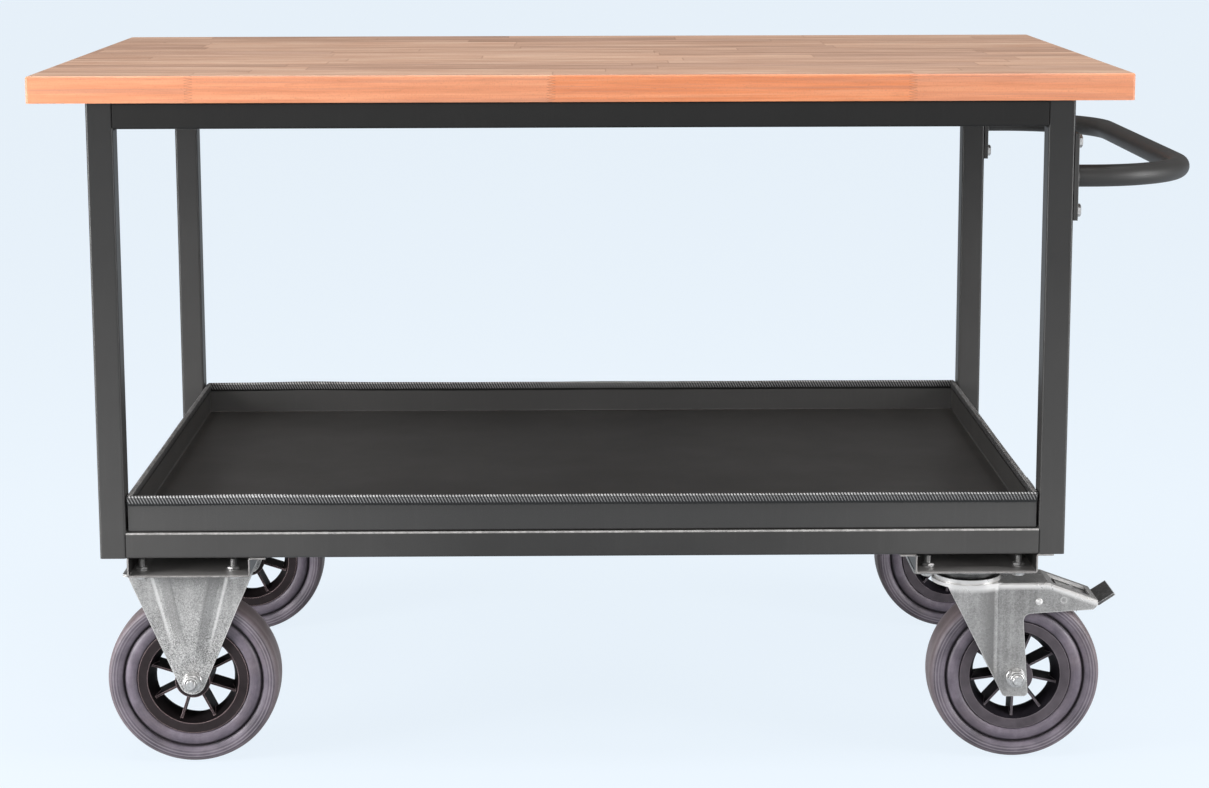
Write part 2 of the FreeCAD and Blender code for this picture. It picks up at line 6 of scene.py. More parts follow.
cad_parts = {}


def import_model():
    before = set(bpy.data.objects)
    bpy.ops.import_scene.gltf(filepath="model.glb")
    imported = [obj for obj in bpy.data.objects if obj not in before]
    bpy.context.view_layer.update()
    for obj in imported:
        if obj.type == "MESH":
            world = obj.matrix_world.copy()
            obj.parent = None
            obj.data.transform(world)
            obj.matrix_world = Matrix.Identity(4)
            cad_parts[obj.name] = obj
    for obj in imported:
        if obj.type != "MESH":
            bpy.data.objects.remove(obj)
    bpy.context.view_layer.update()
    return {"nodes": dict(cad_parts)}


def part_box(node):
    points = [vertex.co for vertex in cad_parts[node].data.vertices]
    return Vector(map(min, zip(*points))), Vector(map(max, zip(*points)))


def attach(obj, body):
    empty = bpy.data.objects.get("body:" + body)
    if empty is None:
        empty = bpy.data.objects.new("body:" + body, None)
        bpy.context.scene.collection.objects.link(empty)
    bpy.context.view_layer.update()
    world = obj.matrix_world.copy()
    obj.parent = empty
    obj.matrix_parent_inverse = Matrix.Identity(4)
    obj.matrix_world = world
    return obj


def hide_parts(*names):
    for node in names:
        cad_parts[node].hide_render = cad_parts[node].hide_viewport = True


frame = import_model()
nodes = frame["nodes"]
ENDS = ("left", "right")
ROWS = ("front", "rear")

# ---- picture and background ----------------------------------------------------------------
IMAGE_WIDTH = 1209
FOCAL_PIXELS = 2614
SENSOR = 0.036
SHIFT_UP = -0.08
CAMERA_PLACE = (-0.0545, -3.2324, 1.0270)
CAMERA_PITCH = math.radians(9.222)
CAMERA_YAW = math.radians(-0.632)
CAMERA_ROLL = math.radians(-0.132)
BACKGROUND = (0.807, 0.888, 0.965)

# ---- sizes that the details share with the solids, in metres -------------------------------
CHANNEL_SHEET = 0.002
FIXED_SHEET = 0.003         # fixed bracket
SWIVEL_SHEET = 0.004        # swivel caster's plate and fork
FORK_GAP = 0.056
HOLE_PITCH_X = 0.105
HOLE_PITCH_Y = 0.080
MOUNT_THREAD = 0.008
MOUNT_FLATS = 0.013
MOUNT_HEAD = 0.0053
MOUNT_NUT = 0.004
AXLE_THREAD = 0.012
AXLE_FLATS = 0.019
AXLE_HEAD = 0.0075
AXLE_NUT = 0.013
AXLE_TAIL = 0.004
HANDLE_THREAD = 0.008
HANDLE_SHANK = 0.020
HANDLE_PITCH = 0.078        # between a plate's two bolts
HANDLE_FLATS = 0.013
HANDLE_HEAD = 0.0053
HANDLE_TUBE = 0.025
TRIM_COVER = 0.009
TRIM_CROWN = 0.002
TRIM_HALF = 0.00275
TRAY_SHEET = 0.0015
TREAD_AHEAD = 0.147         # from the swivel's axis to the start of the pedal's tread plate


def low(node):
    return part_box(node)[0]


def high(node):
    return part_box(node)[1]


def middle(node):
    return (Vector(low(node)) + Vector(high(node))) / 2


# ---- shader building -----------------------------------------------------------------------
class Shader:
    """A material under construction: short calls for the nodes that the materials here share."""

    def __init__(self, name):
        self.material = bpy.data.materials.new(name)
        self.material.use_nodes = True
        self.tree = self.material.node_tree
        self.tree.nodes.clear()
        self.output = self.tree.nodes.new("ShaderNodeOutputMaterial")
        self.surface = self.tree.nodes.new("ShaderNodeBsdfPrincipled")
        self.tree.links.new(self.surface.outputs[0], self.output.inputs[0])

    def feed(self, socket, value):
        if isinstance(value, bpy.types.NodeSocket):
            self.tree.links.new(value, socket)
        elif socket.type == "RGBA" and len(value) == 3:
            socket.default_value = (*value, 1)
        else:
            socket.default_value = value

    def node(self, kind, inputs, **settings):
        made = self.tree.nodes.new("ShaderNode" + kind)
        for name, value in settings.items():
            setattr(made, name, value)
        for name, value in inputs.items():
            self.feed(made.inputs[name], value)
        return made

    def set(self, **values):
        for name, value in values.items():
            self.feed(self.surface.inputs[name.replace("_", " ")], value)

    def place(self):
        """Position in metres: from the table's origin on a node, from its own on an added piece."""
        return self.node("TexCoord", {}).outputs["Object"]

    def normal(self):
        return self.axes(self.node("NewGeometry", {}).outputs["Normal"])

    def edges(self, reach, strength):
        """Up to strength within reach of a sharp edge: the mask that makes edges paler, as worn coat and as
        painted highlight.
        """
        rolled = self.node("Bevel", {"Radius": reach}, samples=4).outputs[0]
        plain = self.node("NewGeometry", {}).outputs["Normal"]
        turn = self.node("VectorMath", {0: rolled, 1: plain}, operation="DOT_PRODUCT").outputs["Value"]
        return self.mask(self.rest(turn), 0.004, 0.07, strength)

    def bends(self):
        """1 where a surface turns from upright to level, as on a rail's upper corners; it places painted
        highlights.
        """
        up = self.normal()[2]
        return self.times(self.mask(up, 0.2, 0.42), self.rest(self.mask(up, 0.86, 0.93)))

    def axes(self, vector):
        return self.node("SeparateXYZ", {0: vector}).outputs

    def vector(self, x, y, z):
        return self.node("CombineXYZ", {0: x, 1: y, 2: z}).outputs[0]

    def math(self, operation, a, b=0.0, clamp=False):
        return self.node("Math", {0: a, 1: b}, operation=operation, use_clamp=clamp).outputs[0]

    def plus(self, a, b):
        return self.math("ADD", a, b)

    def minus(self, a, b):
        return self.math("SUBTRACT", a, b)

    def times(self, a, b):
        return self.math("MULTIPLY", a, b)

    def rest(self, value):
        """What the value leaves of 1."""
        return self.math("SUBTRACT", 1.0, value)

    def stretch(self, vector, factors):
        return self.node("VectorMath", {0: vector, 1: factors}, operation="MULTIPLY").outputs[0]

    def shifted(self, vector, offset):
        return self.node("VectorMath", {0: vector, 1: offset}, operation="ADD").outputs[0]

    def noise(self, vector, scale, detail=3.0, rough=0.5):
        inputs = {"Vector": vector, "Scale": scale, "Detail": detail, "Roughness": rough}
        return self.node("TexNoise", inputs).outputs["Fac"]

    def cells(self, vector, scale):
        return self.node("TexVoronoi", {"Vector": vector, "Scale": scale}).outputs

    def chance(self, vector):
        return self.node("TexWhiteNoise", {"Vector": vector}).outputs["Value"]

    def ramp(self, value, stops):
        made = self.node("ValToRGB", {"Fac": value})
        band = made.color_ramp
        while len(band.elements) < len(stops):
            band.elements.new(0.5)
        for element, (position, color) in zip(band.elements, stops):
            element.position = position
            element.color = (*color, 1)
        return made.outputs[0]

    def grey_ramp(self, value, stops):
        return self.ramp(value, [(position, (level, level, level)) for position, level in stops])

    def mask(self, value, start, end, strength=1.0):
        """Rises from 0 to strength as the value goes from start to end, both between 0 and 1.

        Cycles reads a ramp in 256 steps, so a caller can multiply a small value to get a smooth change.
        """
        return self.grey_ramp(value, [(start, 0.0), (end, strength)])

    def line(self, distance, half_width):
        """1 within half_width of where a distance is zero, with soft edges."""
        near = self.math("DIVIDE", self.math("ABSOLUTE", distance), half_width)
        return self.math("SUBTRACT", 1.5, near, True)

    def mix(self, factor, a, b, blend="MIX"):
        made = self.node("Mix", {}, data_type="RGBA", blend_type=blend)
        for socket, value in zip((made.inputs[0], made.inputs[6], made.inputs[7]), (factor, a, b)):
            self.feed(socket, value)
        return made.outputs[2]

    def brighter(self, tint, factor):
        return self.mix(1.0, tint, (factor, factor, factor), "MULTIPLY")

    def sheen(self, clouds, dull, bright):
        """Roughness that varies with the clouds, between two values."""
        return self.grey_ramp(clouds, [(0.3, dull), (0.7, bright)])

    def bump(self, height, distance, strength=1.0):
        inputs = {"Height": height, "Distance": distance, "Strength": strength}
        self.feed(self.surface.inputs["Normal"], self.node("Bump", inputs).outputs[0])
        return self


def scaled(color, factor):
    return tuple(min(1.0, channel * factor) for channel in color)


# ---- materials -----------------------------------------------------------------------------
STAVE = 0.0438          # width of a worktop stave
STAVE_RUN = 0.40        # length of a piece between finger joints
FRONT_JOINT = -0.4765   # a finger joint on the front edge
FINGER = 0.0030         # pitch of the fingers
FINGER_REACH = 0.009


def beech():
    """Finger-jointed beech: brownish pink staves on top, deep orange staves along the edges."""
    s = Shader("beech")
    place = s.place()
    x, y, z = s.axes(place)
    across = s.math("DIVIDE", s.plus(y, 0.35), STAVE)
    row = s.math("FLOOR", across)
    slip = s.times(s.chance(s.vector(row, 3.1, 0)), STAVE_RUN)
    front = s.math("LESS_THAN", row, 0.5)
    slip = s.plus(s.times(slip, s.rest(front)), s.times(front, -FRONT_JOINT))
    teeth = s.times(s.math("PINGPONG", z, FINGER / 2), 2 * FINGER_REACH / FINGER)
    run = s.math("DIVIDE", s.plus(s.plus(x, slip), teeth), STAVE_RUN)
    piece = s.math("FLOOR", run)
    tone = s.chance(s.vector(row, piece, 1.7))
    moved = s.shifted(place, s.vector(s.times(tone, 9.0), s.times(row, 0.37), tone))
    fibre = s.noise(s.stretch(moved, (1.8, 46.0, 46.0)), 3.4, 6.0, 0.66)
    streaks = s.noise(s.stretch(moved, (2.4, 210.0, 210.0)), 1.0, 4.0, 0.6)
    rings = s.noise(s.stretch(moved, (1.2, 9.0, 30.0)), 2.3, 2.0, 0.5)
    figure = s.math("FRACT", s.times(rings, 9.0))
    pores = s.noise(s.stretch(moved, (130.0, 950.0, 950.0)), 1.6, 2.0, 0.5)
    rays = s.noise(s.stretch(moved, (900.0, 900.0, 330.0)), 1.0, 2.0, 0.5)

    top = s.ramp(fibre, [(0.28, (0.275, 0.148, 0.091)), (0.5, (0.520, 0.315, 0.218)),
                         (0.72, (0.76, 0.540, 0.405))])
    edge = s.ramp(fibre, [(0.24, (0.56, 0.170, 0.066)), (0.5, (0.73, 0.234, 0.088)),
                          (0.76, (0.86, 0.310, 0.132))])
    upward = s.math("POWER", s.math("ABSOLUTE", s.normal()[2]), 6.0, True)
    pink = s.ramp(fibre, [(0.3, (0.56, 0.225, 0.125)), (0.7, (0.74, 0.345, 0.215))])
    edge = s.mix(s.mask(tone, 0.45, 0.85, 0.5), edge, pink)
    wood = s.mix(upward, edge, top)
    shade = s.grey_ramp(tone, [(0.0, 0.34), (0.35, 0.47), (0.7, 0.57), (1.0, 0.70)])
    wood = s.mix(s.plus(0.18, s.times(upward, 0.42)), wood, shade, "OVERLAY")
    dark_streak = s.mix(upward, (0.46, 0.215, 0.150), (0.22, 0.125, 0.085))
    pale_streak = s.mix(upward, (0.78, 0.37, 0.21), (0.70, 0.51, 0.41))
    wood = s.mix(s.mask(streaks, 0.52, 0.66, 0.5), wood, dark_streak)
    wood = s.mix(s.mask(s.rest(streaks), 0.53, 0.66, 0.5), wood, pale_streak)
    wood = s.mix(s.mask(figure, 0.78, 1.0, 0.20), wood, (0.40, 0.165, 0.080))
    wood = s.mix(s.mask(pores, 0.62, 0.74, 0.4), wood, (0.24, 0.11, 0.06))
    wood = s.mix(s.times(s.mask(rays, 0.56, 0.66, 0.3), s.mask(tone, 0.35, 0.45)), wood,
                 (0.46, 0.19, 0.10))
    seam = s.line(s.math("PINGPONG", s.minus(across, row), 0.5), 0.010)
    step = s.math("FRACT", s.plus(run, 0.5))
    joint = s.line(s.minus(step, 0.5), 0.0016)
    lines = s.math("MAXIMUM", s.times(seam, s.mask(upward, 0.4, 0.6)), joint)
    glue = s.times(lines, s.grey_ramp(upward, [(0.3, 0.75), (0.7, 0.42)]))
    wood = s.mix(glue, wood, (0.22, 0.10, 0.055))
    s.set(Base_Color=wood, Roughness=s.grey_ramp(fibre, [(0.2, 0.55), (0.8, 0.42)]))
    relief = s.plus(fibre, s.times(lines, -0.6))
    return s.bump(relief, 0.0004, 0.4).material


def powder_coat(name, color, rough, spread=0.14, edge=2.4, dust_and_upward_light=1.0, corner=0, cut=0, painted_foot_shading=1.0, ends=1.0,
                shine=0.5):
    """Powder coat: orange peel over clouds; edges paler as wear and painted highlight, upward faces as dust
    and painted light.

    spread is how much the clouds differ. The other factors brighten, in the order of the arguments: the
    edges, as worn coat and painted highlight; the upward faces, as dust and painted light; a rail's upper
    corners, a painted highlight; the sheet's cut ends at front and rear; the lower end of a post, whose top
    is then darker, painted light and painted shade under the worktop; and what is near the table's two ends,
    painted light.
    """
    s = Shader(name)
    place = s.place()
    clouds = s.noise(place, 5.0, 4.0, 0.6)
    streaks = s.noise(s.stretch(place, (50.0, 50.0, 3.0)), 4.0, 3.0, 0.6)
    peel = s.noise(place, 900.0, 2.0, 0.5)
    dust = s.noise(place, 2600.0, 1.0, 0.5)
    tint = s.ramp(clouds, [(0.3, scaled(color, 1 - spread)), (0.52, color),
                           (0.74, scaled(color, 1 + 1.6 * spread))])
    tint = s.mix(s.mask(streaks, 0.55, 0.85, 0.25), tint, scaled(color, 1.5))
    tint = s.mix(s.mask(dust, 0.66, 0.8, 0.30), tint, scaled(color, 2.4))
    # Upward faces paler: dust, and painted light where the factor is large, as on the tray's and the
    # channels' floors.
    tint = s.mix(s.mask(s.normal()[2], 0.6, 0.95), tint, s.brighter(tint, dust_and_upward_light))
    # Painted light and shade: a post paler towards its lower end and darker at its top, where the worktop
    # shades it.
    if painted_foot_shading > 1:
        height = s.axes(place)[2]
        tint = s.mix(s.mask(height, 0.30, 0.60), s.brighter(tint, painted_foot_shading), tint)
        tint = s.mix(s.mask(height, 0.55, 0.77, 0.75), tint, scaled(color, 0.35))
    # Painted light: paler towards the table's two ends.
    if ends > 1:
        aside = s.math("ABSOLUTE", s.minus(s.axes(place)[0], middle("tray")[0]))
        tint = s.mix(s.mask(aside, 0.12, 0.54), tint, s.brighter(tint, ends))
    uneven = s.grey_ramp(streaks, [(0.35, 0.5), (0.65, 1.0)])
    # Edges paler: worn coat and painted highlight.
    tint = s.mix(s.times(s.edges(0.0016, 1.0), uneven), tint, scaled(color, edge))
    # Painted highlight along a rail's upper corners.
    if corner:
        tint = s.mix(s.times(s.bends(), uneven), tint, scaled(color, corner))
    if cut:
        cut_faces = s.mask(s.math("ABSOLUTE", s.normal()[1]), 0.9, 0.98)
        tint = s.mix(s.times(cut_faces, uneven), tint, scaled(color, cut))
    s.set(Base_Color=tint, Roughness=s.sheen(clouds, rough + 0.04, rough - 0.04), Specular_IOR_Level=shine)
    return s.bump(peel, 0.00010, 0.6).material


def zinc(name, color, rough, speck, tip=None, marks=None):
    """Zinc plate: cloudy sheen, drawing marks, crystalline speckle, duller spots and painted highlights on
    edges and bends.

    With tip, a pair of heights, the speckle is faint above the first and dense below the second.
    marks adds painted shade and painted highlights that follow the pressed form of one kind of piece.
    """
    s = Shader(name)
    place = s.place()
    clouds = s.noise(place, 22.0, 5.0, 0.62)
    drawn = s.noise(s.stretch(place, (150.0, 150.0, 9.0)), 1.0, 3.0, 0.55)
    crystals = s.cells(place, 620.0)
    fine = s.noise(place, 760.0, 3.0, 0.7)
    spots = s.noise(place, 330.0, 3.0, 0.6)
    tint = s.ramp(clouds, [(0.3, scaled(color, 0.70)), (0.52, color), (0.74, scaled(color, 1.35))])
    tint = s.mix(s.mask(drawn, 0.42, 0.62, 0.3), tint, scaled(color, 1.5))
    tint = s.mix(0.25, tint, s.axes(crystals["Color"])[0], "SOFT_LIGHT")
    amount = speck
    if tip:
        depth = s.math("DIVIDE", s.minus(tip[0], s.axes(place)[2]), tip[0] - tip[1])
        amount = s.grey_ramp(depth, [(0.0, 0.35 * speck), (1.0, speck)])
    dark, light = s.mask(fine, 0.52, 0.62), s.mask(s.rest(fine), 0.53, 0.64)
    tint = s.mix(s.times(dark, amount), tint, scaled(color, 0.22))
    tint = s.mix(s.times(light, amount), tint, scaled(color, 2.0))
    tint = s.mix(s.mask(spots, 0.62, 0.72, 0.45), tint, scaled(color, 0.45))
    # Painted light and shade that belong to this kind of piece.
    if marks:
        tint = marks(s, tint, color)
    # Painted highlights on edges and on bends that turn from upright to level.
    tint = s.mix(s.math("MAXIMUM", s.edges(0.0018, 0.8), s.bends()), tint, scaled(color, 2.3))
    s.set(Base_Color=tint, Metallic=0.4, Roughness=s.sheen(clouds, rough + 0.10, rough - 0.08))
    return s.bump(crystals["Distance"], 0.00010, 0.6).material


# Borders of the fixed bracket's panel, each as half width, the height it is measured at and its slope.
PANEL_INNER = (0.0055, 0.137, 0.205)
PANEL_OUTER = (0.0150, 0.118, 0.254)


def border(s, z, outline):
    """Half width, at the height z, of a sloping border."""
    width, height, slope = outline
    return s.plus(width, s.times(s.minus(z, height), slope))


def panel_painted_light_and_shade(s, tint, color):
    """On the fixed bracket: painted shade over the panel's borders and at its top, a painted highlight along
    the outer bends.
    """
    x, _, z = s.axes(s.place())
    aside = s.math("ABSOLUTE", s.minus(x, middle("front_left_bracket")[0]))
    inner, outer = border(s, z, PANEL_INNER), border(s, z, PANEL_OUTER)
    across = s.math("DIVIDE", s.minus(aside, inner), s.minus(outer, inner))
    drawn_up = s.mask(z, 0.135, 0.165)
    # Painted shade over the panel's sloping borders.
    dull = s.grey_ramp(s.plus(across, 0.3), [(0.12, 0.0), (0.30, 0.75), (0.42, 0.45), (0.95, 0.40),
                                             (1.0, 0.0)])
    # Painted highlight along the outer bends.
    shine = s.line(s.minus(across, 1.06), 0.10)
    # Painted shade across the top of the leg, under the plate.
    root_shade = s.times(s.mask(z, 0.212, 0.229, 0.65), s.math("LESS_THAN", aside, 0.041))
    tint = s.mix(root_shade, tint, scaled(color, 0.40))
    tint = s.mix(s.times(dull, drawn_up), tint, scaled(color, 0.45))
    return s.mix(s.times(shine, s.times(drawn_up, 0.55)), tint, scaled(color, 2.2))


FORK_CREASE = 0.029         # crease ahead of the swivel's centre
ARM_BEND = 0.090            # where the arm starts to fall
ARM_SLOPE = 0.365
FORK_TOP = 0.213            # height of the fork's crown
DISH_RADIUS = 0.0375        # sunk part of the crown, round the ball race


def fork_painted_light_and_shade(s, tint, color):
    """On the swivel fork: painted shade beside the crease and in the sunk middle of the crown, painted
    highlights along the arm's rounded top and on the front of the crown's lip.
    """
    x, y, z = s.axes(s.place())
    swivel = middle("front_right_ball_race")
    ahead = s.minus(x, swivel[0])
    upright = s.mask(s.math("ABSOLUTE", s.normal()[1]), 0.3, 0.5)
    crease = s.math("DIVIDE", ahead, FORK_CREASE)
    # Painted shade in a band beside the crease, on upright faces.
    dull = s.grey_ramp(crease, [(0.20, 0.0), (0.58, 0.60), (0.90, 0.85), (1.0, 0.0)])
    tint = s.mix(s.times(dull, upright), tint, scaled(color, 0.40))
    fall = s.times(s.math("MAXIMUM", s.minus(ahead, ARM_BEND), 0.0), ARM_SLOPE)
    down = s.minus(s.minus(FORK_TOP, fall), z)
    # Painted highlight along the arm's rounded top.
    bend_highlight = s.times(s.rest(s.mask(s.times(down, 100.0), 0.45, 0.85)), upright)
    tint = s.mix(s.times(bend_highlight, s.mask(crease, 0.90, 1.0)), tint, scaled(color, 2.4))
    aside = s.minus(s.math("ABSOLUTE", y), abs(swivel[1]))
    radius = s.math("SQRT", s.plus(s.times(ahead, ahead), s.times(aside, aside)))
    # Painted shade in the sunk middle of the crown, round the ball race.
    dish_shade = s.times(s.math("LESS_THAN", radius, DISH_RADIUS), s.math("GREATER_THAN", z, FORK_TOP - 0.0005))
    tint = s.mix(s.times(dish_shade, 0.85), tint, scaled(color, 0.12))
    # Painted highlight on the front of the crown's lip.
    rim = s.times(s.math("GREATER_THAN", radius, DISH_RADIUS), s.mask(s.times(z, 4.0), 0.812, 0.836))
    return s.mix(s.times(rim, s.math("LESS_THAN", crease, 1.1)), tint, scaled(color, 2.4))


def plated(name, color, rough, metal=0.85):
    """Plated steel of fasteners and bearings: an even shine with soft clouds."""
    s = Shader(name)
    place = s.place()
    clouds = s.noise(place, 300.0, 3.0, 0.5)
    tint = s.ramp(clouds, [(0.3, scaled(color, 0.72)), (0.7, scaled(color, 1.25))])
    s.set(Base_Color=tint, Metallic=metal, Roughness=s.sheen(clouds, rough + 0.06, rough - 0.05))
    return s.material


def pedal_finish(end):
    """The brake pedal: plated lever as far as x = end, dark scuffed tread plate beyond."""
    s = Shader("pedal_finish")
    place = s.place()
    scuffs = s.noise(place, 260.0, 4.0, 0.65)
    lever = s.ramp(scuffs, [(0.3, (0.25, 0.25, 0.25)), (0.7, (0.55, 0.55, 0.55))])
    tread = s.ramp(scuffs, [(0.36, (0.050, 0.049, 0.050)), (0.55, (0.095, 0.094, 0.095)),
                            (0.7, (0.20, 0.20, 0.20))])
    # The tread plate's edges paler: painted highlight and wear.
    tread = s.mix(s.edges(0.0016, 0.9), tread, (0.55, 0.55, 0.55))
    beyond = s.math("GREATER_THAN", s.axes(place)[0], end)
    metal = s.minus(0.7, s.times(beyond, 0.6))
    s.set(Base_Color=s.mix(beyond, lever, tread), Metallic=metal, Roughness=0.35)
    return s.bump(scuffs, 0.00015, 0.5).material


TYRE_SEAT = 0.0645      # radius at which the tyre leaves the rim
TYRE_GROOVE = 0.0803    # radius of the groove in its sidewalls


def tyre_rubber():
    """Solid rubber: turned lines on the sidewalls, brownish patches and tread, painted shade in the sidewall
    groove and at the rim, pale dust.
    """
    s = Shader("tyre_rubber")
    place = s.place()
    x, _, z = s.axes(place)
    radius = s.math("SQRT", s.plus(s.times(x, x), s.times(z, z)))
    clouds = s.noise(place, 26.0, 5.0, 0.65)
    patches = s.noise(place, 11.0, 3.0, 0.5)
    grain = s.noise(place, 800.0, 3.0, 0.6)
    turning = s.noise(s.vector(s.times(radius, 620.0), 0.0, 0.0), 1.0, 1.0, 0.5)
    tint = s.ramp(clouds, [(0.3, (0.076, 0.064, 0.085)), (0.5, (0.134, 0.113, 0.144)),
                           (0.72, (0.226, 0.192, 0.236))])
    tint = s.mix(s.mask(patches, 0.52, 0.70, 0.45), tint, (0.105, 0.075, 0.065))
    outer = s.mask(radius, 0.084, 0.088)
    lines = s.times(s.mask(turning, 0.54, 0.64, 0.6), s.plus(0.2, s.times(outer, 0.8)))
    tint = s.mix(lines, tint, (0.30, 0.275, 0.295))
    furrows = s.times(s.mask(s.rest(turning), 0.54, 0.64, 0.6), outer)
    tint = s.mix(furrows, tint, (0.045, 0.038, 0.045))
    tint = s.mix(s.mask(radius, 0.0965, 0.0985, 0.6), tint, (0.205, 0.152, 0.135))
    # Painted shade in the sidewall's groove and where the tyre meets the rim.
    tint = s.mix(s.line(s.minus(radius, TYRE_GROOVE), 0.0018), tint, (0.020, 0.016, 0.021))
    tint = s.mix(s.line(s.minus(radius, TYRE_SEAT), 0.0008), tint, (0.015, 0.012, 0.015))
    tint = s.mix(s.mask(grain, 0.58, 0.75, 0.4), tint, (0.27, 0.245, 0.25))
    s.set(Base_Color=tint, Roughness=s.sheen(clouds, 0.56, 0.42))
    relief = s.plus(s.times(grain, 0.4), turning)
    return s.bump(relief, 0.00025, 0.8).material


def moulded_plastic(name, color, face, rim):
    """Moulded plastic: dark between the spokes, paler along edges as painted highlight, paler on faces square
    to the axle.
    """
    s = Shader(name)
    place = s.place()
    clouds = s.noise(place, 40.0, 4.0, 0.6)
    grain = s.noise(place, 1500.0, 1.0, 0.5)
    outward = s.mask(s.math("ABSOLUTE", s.normal()[1]), 0.75, 0.95)
    tint = s.ramp(clouds, [(0.3, scaled(color, 0.6)), (0.75, scaled(color, 1.7))])
    tint = s.mix(s.times(outward, s.grey_ramp(clouds, [(0.3, 0.55), (0.7, 1.0)])), tint, face)
    # Painted highlight along the edges.
    tint = s.mix(s.edges(0.0013, 0.85), tint, rim)
    s.set(Base_Color=tint, Roughness=s.sheen(clouds, 0.62, 0.48), Specular_IOR_Level=0.10)
    return s.bump(grain, 0.00010, 0.5).material


RIB = 0.0036            # pitch of the trim's ribs


def ribbed_rubber(name, along):
    """Edge trim: slanted ribs painted pale on their ridges and dark between them, a painted highlight along
    the top and a painted shadow along the lower edge.
    """
    s = Shader(name)
    place = s.place()
    axes = s.axes(place)
    rise = s.minus(axes[2], high("tray")[2])
    slant = s.plus(axes[along], s.times(axes[2], 0.5))
    ribs = s.math("PINGPONG", s.math("DIVIDE", slant, RIB), 0.5)
    rows = s.math("PINGPONG", s.math("DIVIDE", rise, 2.2 * RIB), 0.5)
    clouds = s.noise(place, 60.0, 4.0, 0.6)
    height = s.times(rise, 50.0)
    crown = s.mask(height, 0.0, 0.05)
    painted_foot_shading = s.rest(s.mask(s.plus(height, 1.0), 0.66, 0.72))
    # Painted light and shade of the ribs: pale ridges, dark grooves.
    tint = s.ramp(ribs, [(0.12, (0.004, 0.004, 0.004)), (0.28, (0.035, 0.035, 0.036)),
                         (0.44, (0.22, 0.22, 0.225))])
    # Painted shade between the rows of ribs.
    tint = s.mix(s.minus(0.6, s.mask(rows, 0.0, 0.15, 0.6)), tint, (0.008, 0.008, 0.008))
    # Painted highlight along the top of the ribs.
    crown_highlight = s.times(s.times(crown, s.mask(ribs, 0.10, 0.42)), s.grey_ramp(clouds, [(0.3, 0.4), (0.7, 1.0)]))
    tint = s.mix(crown_highlight, tint, (0.62, 0.62, 0.62))
    # Painted shadow along the lower edge.
    tint = s.mix(painted_foot_shading, tint, (0.005, 0.005, 0.005))
    s.set(Base_Color=tint, Roughness=s.sheen(clouds, 0.55, 0.42))
    return s.bump(ribs, 0.0005, 0.8).material


# ---- forms ---------------------------------------------------------------------------------
class Form:
    """A mesh under construction, in the piece's own coordinates."""

    def __init__(self):
        self.points, self.faces = [], []

    def add(self, part, matrix=Matrix.Identity(4)):
        points, faces = part
        start = len(self.points)
        self.points += [matrix @ Vector(p) for p in points]
        self.faces += [[start + i for i in face] for face in faces]
        return self

    def piece(self, name, material, body, slot, *replaced, origin=(0, 0, 0), crisp=32):
        """Makes the object at its origin; edges sharper than crisp degrees stay sharp."""
        mesh = bpy.data.meshes.new(name)
        mesh.from_pydata(self.points, [], self.faces)
        work = bmesh.new()
        work.from_mesh(mesh)
        bmesh.ops.recalc_face_normals(work, faces=work.faces)
        work.to_mesh(mesh)
        work.free()
        mesh.shade_smooth()
        mesh.set_sharp_from_angle(angle=math.radians(crisp))
        mesh.materials.append(material)
        made = bpy.data.objects.new(name, mesh)
        made.location = origin
        bpy.context.scene.collection.objects.link(made)
        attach(made, body)
        if replaced:
            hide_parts(*replaced)


def skin(rings, loop=False):
    """Faces over rings of equal length; the first and last rings are capped unless they are joined."""
    count = len(rings[0])
    points = [p for ring in rings for p in ring]
    faces = []
    for i in range(len(rings) if loop else len(rings) - 1):
        a, b = i * count, (i + 1) % len(rings) * count
        faces += [(a + k, a + (k + 1) % count, b + (k + 1) % count, b + k) for k in range(count)]
    if not loop:
        faces += [tuple(range(count)), tuple(range(len(points) - count, len(points)))]
    return points, faces


def turns(steps):
    """Angles of one turn in equal steps."""
    return [math.tau * k / steps for k in range(steps)]


def turned(profile, steps=40, loop=False):
    """An outline of (radius, height) points turned about Z."""
    return skin([[(r * math.cos(a), r * math.sin(a), h) for a in turns(steps)] for r, h in profile], loop)


def hexagon(flats, bottom, top, bore=0.0, both=False, steps=36):
    """A hexagon about Z with turned 30 degree chamfers at its top, or at both ends, and perhaps a bore."""
    def corner(a):
        return flats / 2 / math.cos(a % (math.pi / 3) - math.pi / 6)

    def ring(radius, height):
        return [(radius(a) * math.cos(a), radius(a) * math.sin(a), height(a)) for a in turns(steps)]

    seat = flats / 2 * 0.95

    def fall(a):
        return (corner(a) - seat) * math.tan(math.radians(30))

    rings = [ring(lambda a: seat, lambda a: bottom),
             ring(corner, lambda a: bottom + (fall(a) if both else 0)),
             ring(corner, lambda a: top - fall(a)),
             ring(lambda a: seat, lambda a: top)]
    if bore:
        rings = [ring(lambda a: bore, lambda a: bottom)] + rings + [ring(lambda a: bore, lambda a: top)]
    return skin(rings, loop=bool(bore))


def screw_thread(diameter, bottom, top, pitch, steps=20):
    """A screw's threaded end about Z: a helical ridge and a turned point."""
    rows = math.ceil((top - bottom) / pitch * 5)
    point = 0.6 * pitch

    def radius(a, z):
        ridge = abs(2 * (((z - bottom) / pitch - a / math.tau) % 1) - 1)
        return min(diameter / 2 - 0.5 * pitch * (1 - ridge), diameter / 2 - point + top - z)

    heights = [bottom + (top - bottom) * i / rows for i in range(rows + 1)]
    return skin([[(radius(a, z) * math.cos(a), radius(a, z) * math.sin(a), z) for a in turns(steps)]
                 for z in heights])


